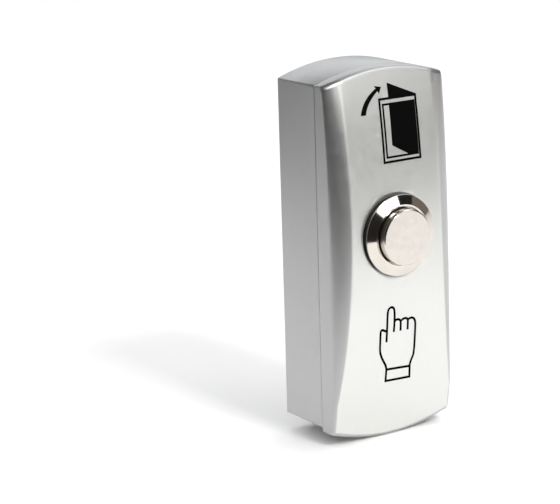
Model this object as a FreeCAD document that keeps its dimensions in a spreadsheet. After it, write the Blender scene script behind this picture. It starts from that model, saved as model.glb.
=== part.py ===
import FreeCAD, Part

import math
import os
import re

import Sketcher

# Surface-mounted door release button: a die-cast back box and an arched front cover, with a
# 16 mm raised push button through the cover and a change-over switch behind it.
# Frame: the back of the box lies in the plane Y = 0, the front faces -Y, +Z is up and the
# origin is the centre of the back face. A "depth" is a distance in front of that plane.

SIZES = {
    # housing
    "cover_width": 32.0,
    "cover_side": 77.2,          # height of the straight sides, without the arched ends
    "end_rise": 2.9,             # how far each arched end stands out past the sides
    "box_side": 76.2,
    "box_lift": 0.45,            # the box sits this much above the middle of the cover
    "seam_depth": 14.0,
    "front_depth": 21.4,
    "front_radius": 228.0,       # radius of the arched front, seen from the side
    "wall": 2.0,
    "inner_rise": 2.5,           # rise of the arched ends inside the box
    # side facets of the front, as a line in each of three levels
    "facet_level": 41.6,
    "facet_in_top": 12.1,
    "facet_in_mid": 12.1,
    "facet_in_low": 16.9,
    "facet_fall_top": 0.31,
    "facet_fall_mid": 0.77,
    "facet_fall_low": 0.70,
    "facet_past": 3.0,           # how far the cut for a facet runs past its two edges
    "facet_out": 2.0,
    "arch_reach": 44.0,
    "arch_cut": 5.0,
    # inside of the cover
    "rim_depth": 15.6,
    "lip_reach": 1.4,
    "lip_gap": 0.15,
    "lip_wall": 1.2,
    "core_width": 21.0,
    "core_height": 66.0,
    "core_depth": 17.4,
    "nut_well_radius": 11.4,
    "nut_seat_depth": 19.2,
    # wall fixing and cable entry
    "wall_hole_spacing": 60.0,
    "wall_hole_radius": 2.1,
    "cable_height": -17.0,
    "cable_hole_radius": 5.0,
    "grommet_flange_radius": 6.4,
    "grommet_bore_radius": 3.0,
    "grommet_flange": 0.8,
    "grommet_inner": 1.0,
    # cover fixing
    "lug_width": 8.0,
    "lug_bottom": -37.6,
    "lug_height": 6.2,
    "lug_back": 5.0,
    "screw_depth": 9.0,
    "screw_radius": 1.5,
    "screw_head_radius": 2.8,
    "screw_head_height": 1.5,
    "screw_length": 6.6,
    "screw_hole_depth": 4.0,
    "socket_flats": 2.0,
    "socket_depth": 1.1,
    "lug_thread": 5.2,
    "hook_width": 12.0,
    "hook_back": 8.5,
    "hook_front": 10.0,
    "hook_low": 33.6,
    "hook_high": 35.4,
    "hook_end": 37.4,
    "ledge_width": 14.0,
    "ledge_depth": 10.3,
    "ledge_thickness": 1.5,
    "ledge_low": 36.2,
    "ledge_high": 39.8,
    # push button
    "button_height": 5.0,
    "button_travel": 1.5,
    "panel_hole_radius": 8.15,
    "spot_radius": 9.12,
    "spot_depth": 20.7,
    "seat_depth": 22.1,
    "flange_radius": 8.97,
    "flange_rim": 0.35,
    "cone_radius": 6.95,
    "cone_depth": 23.25,
    "lip_chamfer": 0.08,
    "barrel_radius": 7.95,
    "barrel_wall": 1.35,
    "barrel_end": 11.1,
    "cap_radius": 6.2,
    "cap_depth": 25.1,
    "cap_wall": 0.9,
    "cap_edge": 0.28,
    "cap_skirt": 4.3,
    "cap_plate": 1.2,
    "well_radius": 6.48,
    "well_floor": 18.9,
    "web_back": 16.9,
    "stem_radius": 3.0,
    "stem_top": 0.9,             # the stem ends this far behind the cap's face
    "stem_end": 10.9,
    "tip_radius": 1.1,
    "seal_front": 18.4,
    "seal_back": 17.4,
    "seal_groove_radius": 2.3,
    "seal_squeeze": 0.03,
    "clip_groove": 0.6,
    "clip_groove_radius": 2.4,
    "clip_radius": 4.6,
    "panel_seal_radius": 8.75,
    "washer_bore": 8.1,
    "washer_radius": 10.2,
    "nut_flats": 19.0,
    "nut_thickness": 2.2,
    "washer_thickness": 0.6,
    # switch behind the button
    "body_radius": 7.6,
    "body_front": 14.2,
    "base_top": 6.8,
    "base_back": 4.8,
    "chamber_radius": 5.5,
    "chamber_top": 13.2,
    "disc_radius": 4.2,
    "disc_depth": 11.8,
    "disc_thickness": 0.4,
    "contact_gap": 0.05,
    "bore_gap": 0.15,
    "strip": 0.6,
    "tongue": 0.4,
    "terminal_width": 3.4,
    "terminal_screw_radius": 3.5,
    "terminal_head_radius": 1.5,
    "terminal_head_height": 1.1,
    "terminal_shank_radius": 1.0,
    "terminal_shank": 2.0,
    "tapped_radius": 1.05,
    "tapped_depth": 1.5,
    "slot_width": 0.4,
    "slot_depth": 0.5,
    "clamp_width": 2.9,
    "clamp_thickness": 0.5,
    "riser_offset": 4.8,
    "pad_inner": 1.9,
    "tongue_inner": 3.3,
    "common_inner": 2.2,
    "common_rise": 0.45,
    # springs
    "return_wire": 0.5,
    "return_coil_radius": 4.2,
    "contact_wire": 0.3,
    "contact_coil_radius": 1.75,
    # fits, and how far cuts and joined blocks run past each other
    "slide_gap": 0.05,
    "seat_gap": 0.1,
    "hole_gap": 0.2,
    "thread_gap": 0.02,
    "cut_over": 1.0,
    "merge": 0.2,
}

document = FreeCAD.newDocument("door_release_button")
sheet = document.addObject("Spreadsheet::Sheet", "Sizes")
for row, (alias, value) in enumerate(SIZES.items(), start=1):
    sheet.set("A%d" % row, alias)
    sheet.set("B%d" % row, str(value))
    sheet.setAlias("B%d" % row, alias)
document.recompute()

parts = {}


def bound(text):
    """The expression with every size named as a cell of the sheet."""
    def cell(match):
        return "Sizes." + match.group() if match.group() in SIZES else match.group()
    return re.sub(r"[a-z_]+", cell, text)


def turned_placement(axis, degrees):
    return FreeCAD.Placement(FreeCAD.Vector(), FreeCAD.Rotation(axis, degrees))


# ---------------------------------------------------------------- sketches and features

def new_body(name, lift="0"):
    body = document.addObject("PartDesign::Body", name)
    body.Label = name
    body.setExpression("Placement.Base.z", bound(lift))
    parts[name] = body
    return body


def origin_feature(body, role):
    return next(part for part in body.Origin.OriginFeatures if part.Role == role)


def new_sketch(body, plane, offset="0"):
    """A sketch on an origin plane, moved along the plane's own normal by offset.

    The normals are -Y for XZ_Plane, +X for YZ_Plane and +Z for XY_Plane.
    """
    sketch = body.newObject("Sketcher::SketchObject", body.Name + "_sketch")
    sketch.AttachmentSupport = [(origin_feature(body, plane), "")]
    sketch.MapMode = "FlatFace"
    sketch.setExpression("AttachmentOffset.Base.z", bound(offset))
    return sketch


def constrain(sketch, kind, where, expression, start):
    index = sketch.addConstraint(Sketcher.Constraint(kind, *where, start))
    sketch.setExpression("Constraints[%d]" % index, bound(expression))


def place_point(sketch, edge, vertex, corner, start):
    """Ties one vertex of an edge to a corner, given as two expressions."""
    constrain(sketch, "DistanceX", (-1, 1, edge, vertex), corner[0], start.x)
    constrain(sketch, "DistanceY", (-1, 1, edge, vertex), corner[1], start.y)


def add_polygon(sketch, corners):
    """A closed outline of straight edges through corners given as expressions."""
    first = sketch.GeometryCount
    count = len(corners)
    turn = FreeCAD.Rotation(FreeCAD.Vector(0, 0, 1), 360.0 / count)
    starts = [FreeCAD.Vector(10, 1, 0)]
    for _ in range(count - 1):
        starts.append(turn.multVec(starts[-1]))
    for step in range(count):
        sketch.addGeometry(Part.LineSegment(starts[step], starts[(step + 1) % count]), False)
    for step in range(count):
        following = first + (step + 1) % count
        sketch.addConstraint(Sketcher.Constraint("Coincident", first + step, 2, following, 1))
        place_point(sketch, first + step, 1, corners[step], starts[step])


def add_rectangle(sketch, left, bottom, right, top):
    add_polygon(sketch, [(left, bottom), (right, bottom), (right, top), (left, top)])


def add_circle(sketch, centre, radius):
    start = FreeCAD.Vector(1, 1, 0)
    edge = sketch.addGeometry(Part.Circle(start, FreeCAD.Vector(0, 0, 1), 2.0), False)
    constrain(sketch, "Radius", (edge,), radius, 2.0)
    place_point(sketch, edge, 3, centre, start)


def add_hexagon(sketch, flats):
    corner = "%s / 2 / cos(30)" % flats
    add_polygon(sketch, [("%s * cos(%d)" % (corner, angle), "%s * sin(%d)" % (corner, angle))
                         for angle in range(0, 360, 60)])


def arc_between(start, middle, end):
    """An arc edge that runs anticlockwise from start through middle to end."""
    through = Part.Circle(start, middle, end)
    circle = Part.Circle(through.Center, FreeCAD.Vector(0, 0, 1), through.Radius)
    return Part.ArcOfCircle(circle, circle.parameter(start), circle.parameter(end))


def add_arched_outline(sketch, half_width, half_side, rise, middle="0"):
    """An upright outline with straight sides and outward arched ends."""
    wide, tall, high = 15.0, 37.0, 3.0
    top_right = FreeCAD.Vector(wide, tall, 0)
    top_left = FreeCAD.Vector(-wide, tall, 0)
    bottom_left = FreeCAD.Vector(-wide, -tall, 0)
    bottom_right = FreeCAD.Vector(wide, -tall, 0)
    first = sketch.GeometryCount
    sketch.addGeometry([
        arc_between(top_right, FreeCAD.Vector(0, tall + high, 0), top_left),
        Part.LineSegment(top_left, bottom_left),
        arc_between(bottom_left, FreeCAD.Vector(0, -tall - high, 0), bottom_right),
        Part.LineSegment(bottom_right, top_right),
    ], False)
    for step in range(4):
        following = first + (step + 1) % 4
        sketch.addConstraint(Sketcher.Constraint("Coincident", first + step, 2, following, 1))
    sides = {1: top_left, 3: bottom_right}
    for step, start in sides.items():
        sign = "-" if step == 1 else ""
        upper = "%s + %s" % (middle, half_side)
        lower = "%s - %s" % (middle, half_side)
        end = bottom_left if step == 1 else top_right
        heights = (upper, lower) if step == 1 else (lower, upper)
        place_point(sketch, first + step, 1, (sign + half_width, heights[0]), start)
        place_point(sketch, first + step, 2, (sign + half_width, heights[1]), end)
    radius = "(pow(%s; 2) + pow(%s; 2)) / (2 * %s)" % (half_width, rise, rise)
    for edge in (first, first + 2):
        constrain(sketch, "Radius", (edge,), radius, (wide ** 2 + high ** 2) / (2 * high))


def pad(body, sketch, length, midplane=False):
    feature = body.newObject("PartDesign::Pad", body.Name + "_pad")
    feature.Profile = sketch
    feature.Midplane = midplane
    feature.setExpression("Length", bound(length))
    return feature


def pocket(body, sketch, length, midplane=False):
    """Cuts along the sketch's normal, or both ways from the sketch with midplane."""
    feature = body.newObject("PartDesign::Pocket", body.Name + "_pocket")
    feature.Profile = sketch
    feature.Midplane = midplane
    feature.Reversed = not midplane
    feature.setExpression("Length", bound(length))
    return feature


def turned(name, corners, lift="button_height", plane="XY_Plane"):
    """A piece turned about the sketch's vertical axis; corners are (radius, place) pairs."""
    body = new_body(name, lift)
    sketch = new_sketch(body, plane)
    add_polygon(sketch, corners)
    feature = body.newObject("PartDesign::Revolution", name + "_revolution")
    feature.Profile = sketch
    feature.ReferenceAxis = (sketch, ["V_Axis"])
    feature.Angle = 360
    return body


def ring(name, inner, outer, back, front, lift="button_height"):
    """A turned ring on an axis along Y, between two depths."""
    return turned(name, [(inner, "-(%s)" % back), (outer, "-(%s)" % back),
                         (outer, "-(%s)" % front), (inner, "-(%s)" % front)], lift)


# ---------------------------------------------------------------- housing

def make_back_box():
    body = new_body("back_box")
    outline = new_sketch(body, "XZ_Plane")
    add_arched_outline(outline, "cover_width / 2", "box_side / 2", "end_rise", "box_lift")
    pad(body, outline, "seam_depth")
    inside = new_sketch(body, "XZ_Plane", "wall")
    add_arched_outline(inside, "(cover_width / 2 - wall)", "(box_side / 2 - wall)",
                       "inner_rise", "box_lift")
    pocket(body, inside, "seam_depth")

    ledge = new_sketch(body, "XZ_Plane", "ledge_depth")
    add_rectangle(ledge, "-ledge_width / 2", "ledge_low", "ledge_width / 2", "ledge_high")
    pad(body, ledge, "ledge_thickness")

    holes = new_sketch(body, "XZ_Plane")
    for sign in ("", "-"):
        add_circle(holes, ("0", sign + "wall_hole_spacing / 2"), "wall_hole_radius")
    add_circle(holes, ("0", "cable_height"), "cable_hole_radius")
    pocket(body, holes, "wall")
    recess = new_sketch(body, "XZ_Plane")
    add_circle(recess, ("0", "cable_height"), "grommet_flange_radius + seat_gap")
    pocket(body, recess, "grommet_flange")

    # countersunk hole up through the bottom end, for the screw that holds the cover
    groove = body.newObject("PartDesign::Groove", "back_box_screw_hole")
    section = new_sketch(body, "XZ_Plane", "screw_depth")
    bottom = "box_lift - box_side / 2 - end_rise"
    add_polygon(section, [
        ("0", bottom + " - cut_over"), ("screw_head_radius + seat_gap", bottom + " - cut_over"),
        ("screw_head_radius + seat_gap", bottom),
        ("screw_radius + hole_gap", bottom + " + screw_head_height"),
        ("screw_radius + hole_gap", bottom + " + screw_hole_depth"),
        ("0", bottom + " + screw_hole_depth")])
    groove.Profile = section
    groove.ReferenceAxis = (section, ["V_Axis"])
    groove.Angle = 360
    body.Tip = groove


def facet_section(body, side, level, inner, fall):
    """One level of the wedge that is cut away beside the front, on one side of it."""
    sketch = new_sketch(body, "XY_Plane", level)
    depth = ("(front_depth - front_radius + sqrt(pow(front_radius; 2) - pow(%s; 2)))" % level)
    outer = "(cover_width / 2 + facet_out)"
    crest = "-(%s + facet_past * %s)" % (depth, fall)
    add_polygon(sketch, [
        ("%d * (%s - facet_past)" % (side, inner), crest),
        ("%d * %s" % (side, outer), "-(%s - (%s - %s) * %s)" % (depth, outer, inner, fall)),
        ("%d * %s" % (side, outer), crest + " - cut_over"),
    ])
    return sketch


def make_front_cover():
    body = new_body("front_cover")
    outline = new_sketch(body, "XZ_Plane", "seam_depth")
    add_arched_outline(outline, "cover_width / 2", "cover_side / 2", "end_rise")
    pad(body, outline, "front_depth - seam_depth + cut_over")

    # arched front: everything in front of one large arc is taken away
    arch = new_sketch(body, "YZ_Plane")
    radius = SIZES["front_radius"]
    centre = FreeCAD.Vector(radius - SIZES["front_depth"], 0, 0)
    reach = SIZES["arch_reach"]
    back = centre.x - (radius ** 2 - reach ** 2) ** 0.5
    ends = [FreeCAD.Vector(back, reach, 0), FreeCAD.Vector(back, -reach, 0)]
    front = -SIZES["front_depth"] - SIZES["arch_cut"]
    corners = [FreeCAD.Vector(front, -reach, 0), FreeCAD.Vector(front, reach, 0)]
    arch.addGeometry([
        arc_between(ends[0], FreeCAD.Vector(-SIZES["front_depth"], 0, 0), ends[1]),
        Part.LineSegment(ends[1], corners[0]),
        Part.LineSegment(corners[0], corners[1]),
        Part.LineSegment(corners[1], ends[0]),
    ], False)
    for step in range(4):
        arch.addConstraint(Sketcher.Constraint("Coincident", step, 2, (step + 1) % 4, 1))
    place_point(arch, 0, 3, ("front_radius - front_depth", "0"), centre)
    constrain(arch, "Radius", (0,), "front_radius", radius)
    constrain(arch, "DistanceY", (-1, 1, 0, 1), "arch_reach", reach)
    constrain(arch, "DistanceY", (-1, 1, 0, 2), "-arch_reach", -reach)
    place_point(arch, 2, 1, ("-front_depth - arch_cut", "-arch_reach"), corners[0])
    place_point(arch, 2, 2, ("-front_depth - arch_cut", "arch_reach"), corners[1])
    pocket(body, arch, "2 * cover_width", midplane=True)

    for side in (1, -1):
        loft = body.newObject("PartDesign::SubtractiveLoft", "front_cover_facet")
        loft.Profile = facet_section(body, side, "facet_level", "facet_in_top",
                                     "facet_fall_top")
        loft.Sections = [
            facet_section(body, side, "0", "facet_in_mid", "facet_fall_mid"),
            facet_section(body, side, "-facet_level", "facet_in_low", "facet_fall_low")]
        body.Tip = loft

    # locating lip that reaches back into the box
    inner_half = "(cover_width / 2 - wall - lip_gap - lip_wall)"
    inner_side = "(box_side / 2 - wall - lip_gap - lip_wall)"
    lip = new_sketch(body, "XZ_Plane", "seam_depth - lip_reach")
    add_arched_outline(lip, "(cover_width / 2 - wall - lip_gap)",
                       "(box_side / 2 - wall - lip_gap)", "inner_rise", "box_lift")
    pad(body, lip, "lip_reach + merge")
    rim = new_sketch(body, "XZ_Plane", "seam_depth - lip_reach - cut_over")
    add_arched_outline(rim, inner_half, inner_side, "inner_rise", "box_lift")
    pocket(body, rim, "rim_depth - seam_depth + lip_reach + cut_over")
    core = new_sketch(body, "XZ_Plane", "rim_depth - cut_over")
    add_rectangle(core, "-core_width / 2", "-core_height / 2",
                  "core_width / 2", "core_height / 2")
    pocket(body, core, "core_depth - rim_depth + cut_over")

    # round well, seat and hole for the push button
    well = new_sketch(body, "XZ_Plane", "rim_depth - cut_over")
    add_circle(well, ("0", "button_height"), "nut_well_radius")
    pocket(body, well, "nut_seat_depth - rim_depth + cut_over")
    hole = new_sketch(body, "XZ_Plane", "rim_depth")
    add_circle(hole, ("0", "button_height"), "panel_hole_radius")
    pocket(body, hole, "front_depth")
    spot = new_sketch(body, "XZ_Plane", "spot_depth")
    add_circle(spot, ("0", "button_height"), "spot_radius")
    pocket(body, spot, "front_depth - spot_depth + cut_over")

    # threaded lug for the cover screw, and the hook that catches the ledge of the box
    lug = new_sketch(body, "XZ_Plane", "lug_back")
    add_rectangle(lug, "-lug_width / 2", "lug_bottom", "lug_width / 2",
                  "lug_bottom + lug_height")
    pad(body, lug, "rim_depth - lug_back + merge")
    thread = new_sketch(body, "XY_Plane", "lug_bottom")
    add_circle(thread, ("0", "-screw_depth"), "screw_radius + slide_gap")
    pocket(body, thread, "lug_thread")
    hook = new_sketch(body, "YZ_Plane")
    add_polygon(hook, [("-rim_depth - merge", "hook_low"), ("-hook_back", "hook_low"),
                       ("-hook_back", "hook_end"), ("-hook_front", "hook_end"),
                       ("-hook_front", "hook_high"), ("-rim_depth - merge", "hook_high")])
    body.Tip = pad(body, hook, "hook_width", midplane=True)


def make_cover_screw():
    bottom = "box_lift - box_side / 2 - end_rise"
    body = turned("cover_screw", [
        ("0", bottom), ("screw_head_radius", bottom),
        ("screw_radius", bottom + " + screw_head_height"),
        ("screw_radius", bottom + " + screw_length"), ("0", bottom + " + screw_length")],
        lift="0", plane="XZ_Plane")
    body.setExpression("Placement.Base.y", bound("-screw_depth"))
    socket = new_sketch(body, "XY_Plane", bottom + " - merge")
    add_hexagon(socket, "socket_flats")
    body.Tip = pocket(body, socket, "socket_depth + merge")


def make_cable_grommet():
    inner = "grommet_bore_radius"
    outer = "grommet_flange_radius - seat_gap"
    neck = "cable_hole_radius - slide_gap"
    turned("cable_grommet", [
        (inner, "-seat_gap"), (outer, "-seat_gap"), (outer, "-grommet_flange"),
        (neck, "-grommet_flange"), (neck, "-wall"), (outer, "-wall"),
        (outer, "-wall - grommet_inner"), (inner, "-wall - grommet_inner")],
        lift="cable_height")


# ---------------------------------------------------------------- push button

def make_button_bezel():
    """The metal bush: conical bezel, threaded barrel and a web that guides the stem."""
    turned("button_bezel", [
        ("barrel_radius", "-barrel_end"), ("barrel_radius", "-seat_depth"),
        ("flange_radius", "-seat_depth"), ("flange_radius", "-seat_depth - flange_rim"),
        ("cone_radius", "-cone_depth"), ("well_radius + lip_chamfer", "-cone_depth"),
        ("well_radius", "-cone_depth + lip_chamfer"),
        ("well_radius", "-well_floor"), ("stem_radius + slide_gap", "-well_floor"),
        ("stem_radius + slide_gap", "-web_back"), ("barrel_radius - barrel_wall", "-web_back"),
        ("barrel_radius - barrel_wall", "-barrel_end")])


def make_button_cap():
    inner = "cap_radius - cap_wall"
    turned("button_cap", [
        ("0", "-cap_depth"), ("cap_radius - cap_edge", "-cap_depth"),
        ("cap_radius", "-cap_depth + cap_edge"), ("cap_radius", "-cap_depth + cap_skirt"),
        (inner, "-cap_depth + cap_skirt"), (inner, "-cap_depth + cap_plate"),
        ("stem_radius", "-cap_depth + cap_plate"), ("stem_radius", "-cap_depth + stem_top"),
        ("0", "-cap_depth + stem_top")])


def make_plunger():
    """The stem: pressed into the cap, with grooves for the seal and the clip."""
    clip_front = "-web_back + slide_gap"
    turned("plunger", [
        ("0", "-cap_depth + stem_top"), ("stem_radius", "-cap_depth + stem_top"),
        ("stem_radius", "-seal_front"), ("seal_groove_radius", "-seal_front"),
        ("seal_groove_radius", "-seal_back"), ("stem_radius", "-seal_back"),
        ("stem_radius", clip_front), ("clip_groove_radius", clip_front),
        ("clip_groove_radius", clip_front + " + clip_groove"),
        ("stem_radius", clip_front + " + clip_groove"),
        ("stem_radius", "-disc_depth"), ("tip_radius", "-disc_depth"),
        ("tip_radius", "-stem_end"), ("0", "-stem_end")])


def make_turned_small_parts():
    ring("panel_seal", "panel_hole_radius", "panel_seal_radius", "spot_depth", "seat_depth")
    ring("lock_washer", "washer_bore", "washer_radius", "nut_seat_depth - washer_thickness",
         "nut_seat_depth")
    ring("stem_seal", "seal_groove_radius", "stem_radius + seal_squeeze",
         "seal_back + slide_gap", "seal_front - slide_gap")
    ring("retaining_clip", "clip_groove_radius", "clip_radius", "web_back - clip_groove",
         "web_back - slide_gap")
    ring("contact_disc", "tip_radius", "disc_radius", "disc_depth - disc_thickness",
         "disc_depth")


def make_hex_nut():
    body = new_body("hex_nut", "button_height")
    front = "nut_seat_depth - washer_thickness"
    sketch = new_sketch(body, "XZ_Plane", front + " - nut_thickness")
    add_hexagon(sketch, "nut_flats")
    add_circle(sketch, ("0", "0"), "barrel_radius + thread_gap")
    body.Tip = pad(body, sketch, "nut_thickness")


# ---------------------------------------------------------------- switch

def make_switch_body():
    neck = "barrel_radius - barrel_wall - slide_gap"
    turned("switch_body", [
        ("chamber_radius", "-base_top"), ("body_radius", "-base_top"),
        ("body_radius", "-barrel_end"), (neck, "-barrel_end"), (neck, "-body_front"),
        ("stem_radius + bore_gap", "-body_front"), ("stem_radius + bore_gap", "-chamber_top"),
        ("chamber_radius", "-chamber_top")])


def make_switch_base():
    body = turned("switch_base", [
        ("0", "-base_back"), ("body_radius", "-base_back"), ("body_radius", "-base_top"),
        ("0", "-base_top")])
    slots = new_sketch(body, "XZ_Plane", "base_back - merge")
    half = "(terminal_width / 2 + slide_gap)"
    slot = "(strip / 2 + slide_gap)"
    for sign in ("", "-"):
        add_rectangle(slots, "%sriser_offset - %s" % (sign, slot), "-" + half,
                      "%sriser_offset + %s" % (sign, slot), half)
    add_rectangle(slots, "-" + half, "riser_offset - " + slot, half, "riser_offset + " + slot)
    pocket(body, slots, "base_top - base_back + cut_over")
    holes = new_sketch(body, "XZ_Plane", "base_back - merge")
    add_circle(holes, ("terminal_screw_radius", "0"), "tapped_radius")
    add_circle(holes, ("-terminal_screw_radius", "0"), "tapped_radius")
    add_circle(holes, ("0", "terminal_screw_radius"), "tapped_radius")
    body.Tip = pocket(body, holes, "tapped_depth + merge")


def make_terminal(name, turn, tongue_depth, tongue_inner):
    """A bent strip: a screw pad behind the base, a riser through it and a contact tongue."""
    body = new_body(name, "button_height")
    body.Placement = turned_placement(FreeCAD.Vector(0, 1, 0), turn)
    side = new_sketch(body, "XY_Plane")
    back = "-base_back + tongue"
    riser_in = "(riser_offset - strip / 2)"
    riser_out = "(riser_offset + strip / 2)"
    front = "-" + tongue_depth
    add_polygon(side, [
        ("pad_inner", back), (riser_out, back), (riser_out, front), (tongue_inner, front),
        (tongue_inner, front + " + tongue"), (riser_in, front + " + tongue"),
        (riser_in, "-base_back"), ("pad_inner", "-base_back")])
    pad(body, side, "terminal_width - seat_gap", midplane=True)
    hole = new_sketch(body, "XZ_Plane", "base_back - cut_over")
    add_circle(hole, ("terminal_screw_radius", "0"), "tapped_radius")
    body.Tip = pocket(body, hole, "cut_over + merge")


def make_terminals():
    at_rest = "(disc_depth + contact_gap + tongue)"
    pressed = "(disc_depth - disc_thickness - button_travel - contact_gap)"
    make_terminal("terminal_closed", 0, at_rest, "tongue_inner")
    make_terminal("terminal_open", 180, pressed, "tongue_inner")
    make_terminal("terminal_common", -90, "(base_top + common_rise)", "-common_inner")


def repeat_about_axis(body, features):
    """Three copies a quarter turn apart, about the button's axis."""
    pattern = body.newObject("PartDesign::PolarPattern", body.Name + "_pattern")
    pattern.Originals = features
    pattern.Axis = (origin_feature(body, "Y_Axis"), [""])
    pattern.Angle = 180
    pattern.Reversed = True
    pattern.Occurrences = 3
    body.Tip = pattern


def make_terminal_fasteners():
    """Three clamp washers and three slotted screws behind the base."""
    clamp_back = "(base_back - tongue - clamp_thickness)"
    washers = new_body("terminal_washers", "button_height")
    plate = new_sketch(washers, "XZ_Plane", clamp_back)
    add_rectangle(plate, "terminal_screw_radius - clamp_width / 2", "-clamp_width / 2",
                  "terminal_screw_radius + clamp_width / 2", "clamp_width / 2")
    add_circle(plate, ("terminal_screw_radius", "0"), "tapped_radius")
    repeat_about_axis(washers, [pad(washers, plate, "clamp_thickness")])

    screws = new_body("terminal_screws", "button_height")
    head = new_sketch(screws, "XZ_Plane", clamp_back + " - terminal_head_height")
    add_circle(head, ("terminal_screw_radius", "0"), "terminal_head_radius")
    head_pad = pad(screws, head, "terminal_head_height")
    shank = new_sketch(screws, "XZ_Plane", clamp_back + " - merge")
    add_circle(shank, ("terminal_screw_radius", "0"), "terminal_shank_radius")
    shank_pad = pad(screws, shank, "terminal_shank")
    slot = new_sketch(screws, "XZ_Plane", clamp_back + " - terminal_head_height - merge")
    reach = "(terminal_head_radius + merge)"
    add_rectangle(slot, "terminal_screw_radius - slot_width / 2", "-" + reach,
                  "terminal_screw_radius + slot_width / 2", reach)
    slot_cut = pocket(screws, slot, "slot_depth + merge")
    repeat_about_axis(screws, [head_pad, shank_pad, slot_cut])


# ---------------------------------------------------------------- springs

def size(alias):
    return float(sheet.get(alias))


def make_spring(name, wire, coil_radius, back, front, turns):
    """A coil spring on the button's axis, in short straight runs between two depths."""
    runs_per_turn = 12
    runs = turns * runs_per_turn
    start = back + wire / 2
    rise = (front - back - wire) / runs
    points = []
    for step in range(runs + 1):
        angle = 2 * math.pi * step / runs_per_turn
        points.append(FreeCAD.Vector(coil_radius * math.cos(angle), -start - rise * step,
                                     coil_radius * math.sin(angle)))
    first_run = (points[1] - points[0]).normalize()
    section = Part.Wire([Part.Circle(points[0], first_run, wire / 2).toShape()])
    mitred = 1
    spring = document.addObject("Part::Feature", name)
    spring.Label = name
    spring.Shape = Part.makePolygon(points).makePipeShell([section], True, False, mitred)
    spring.Placement = FreeCAD.Placement(FreeCAD.Vector(0, 0, size("button_height")),
                                         FreeCAD.Rotation())
    parts[name] = spring


def make_springs():
    gap = size("seat_gap")
    make_spring("return_spring", size("return_wire"), size("return_coil_radius"),
                size("well_floor") + gap, size("cap_depth") - size("cap_plate") - gap, 4)
    make_spring("contact_spring", size("contact_wire"), size("contact_coil_radius"),
                size("base_top") + size("common_rise") + gap,
                size("disc_depth") - size("disc_thickness") - gap, 5)


def write_parts():
    document.recompute()
    failed = [item.Name for item in document.Objects
              if "Invalid" in item.State or "Error" in item.State]
    for name, item in parts.items():
        shape = item.Shape
        if shape.isNull() or not shape.isValid() or shape.Volume <= 0:
            failed.append(name)
    if failed:
        raise RuntimeError("failed objects: " + ", ".join(failed))
    os.makedirs("parts", exist_ok=True)
    for name, item in parts.items():
        item.Shape.exportStep("parts/%s.step" % name)
        print("%-18s %d solid, %.2f mm3" % (name, len(item.Shape.Solids), item.Shape.Volume))


make_back_box()
make_front_cover()
make_cover_screw()
make_cable_grommet()
make_button_bezel()
make_button_cap()
make_plunger()
make_turned_small_parts()
make_hex_nut()
make_switch_body()
make_switch_base()
make_terminals()
make_terminal_fasteners()
make_springs()
write_parts()
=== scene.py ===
"""Looks of the door release button: a satin silver housing, a nickel push button, printed symbols.

Frame, in metres: the back of the box lies in Y = 0, the front faces -Y and +Z is up.
A "depth" is a distance in front of the back, so depth = -y. Lengths below are in millimetres.
"""

import bisect
import math

import bmesh
import bpy
from mathutils import Matrix, Vector
from mathutils.geometry import tessellate_polygon


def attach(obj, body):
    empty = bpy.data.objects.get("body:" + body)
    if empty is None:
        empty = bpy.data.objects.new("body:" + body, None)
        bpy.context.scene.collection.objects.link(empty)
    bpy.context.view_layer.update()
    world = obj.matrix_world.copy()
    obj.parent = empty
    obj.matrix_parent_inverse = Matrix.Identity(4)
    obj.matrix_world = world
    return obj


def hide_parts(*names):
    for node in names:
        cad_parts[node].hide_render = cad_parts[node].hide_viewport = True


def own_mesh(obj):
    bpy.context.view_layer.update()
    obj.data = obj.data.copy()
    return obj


MM = 0.001

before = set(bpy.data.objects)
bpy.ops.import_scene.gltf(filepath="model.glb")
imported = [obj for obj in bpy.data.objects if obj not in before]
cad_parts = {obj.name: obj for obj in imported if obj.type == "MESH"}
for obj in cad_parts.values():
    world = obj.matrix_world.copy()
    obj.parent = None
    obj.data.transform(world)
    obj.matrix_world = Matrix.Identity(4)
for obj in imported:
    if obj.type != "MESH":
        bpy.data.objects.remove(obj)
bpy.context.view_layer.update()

# ------------------------------------------------------------------ sizes

HALF_WIDTH = 16.0
HALF_SIDE = 38.6            # straight sides of the cover
BOX_HALF_SIDE = 38.1
BOX_LIFT = 0.45
END_RISE = 2.9
INNER_RISE = 2.5            # rise of the arched ends inside the box
SEAM = 14.0
SEAM_GAP = 0.04             # each side of the seam
FRONT = 21.4
FRONT_RADIUS = 228.0
BUTTON_Z = 5.0

SIDE_ROUNDING = 0.15
END_ROUNDING = 0.9
SEAM_ROUNDING = 0.12
CORNER_BLEND = 0.3
CREASE_BLEND = 0.35
CREASE = (12.1, -1.47, 2.24, -0.8)    # terms of its distance from the middle, over HALF_SIDE
FACET_LEVEL = 41.6
FACET_FALL = (0.77, -0.195, -0.265)   # terms of the depth lost per millimetre, over FACET_LEVEL
FACET_SLOPE = 0.35          # slope of the facet beside its crease
FACET_CURVE = 0.513         # how much the facet curves back towards the side
FACET_LEAST = 0.7           # least width of the facet


def arch_depth(z):
    return FRONT - FRONT_RADIUS + math.sqrt(FRONT_RADIUS ** 2 - z ** 2)


def series(terms, t):
    return sum(term * t ** power for power, term in enumerate(terms))


def crease(z):
    """Distance from the middle at which the side facets begin."""
    return series(CREASE, z / HALF_SIDE)


def facet_fall(z):
    """Depth lost for each millimetre outside the crease."""
    return series(FACET_FALL, z / FACET_LEVEL)


def soft_ramp(value, blend):
    """Zero below zero and value above it, with a smooth change between them."""
    if value <= -blend:
        return 0.0
    if value >= blend:
        return value
    return (value + blend) ** 2 / (4 * blend)


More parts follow.
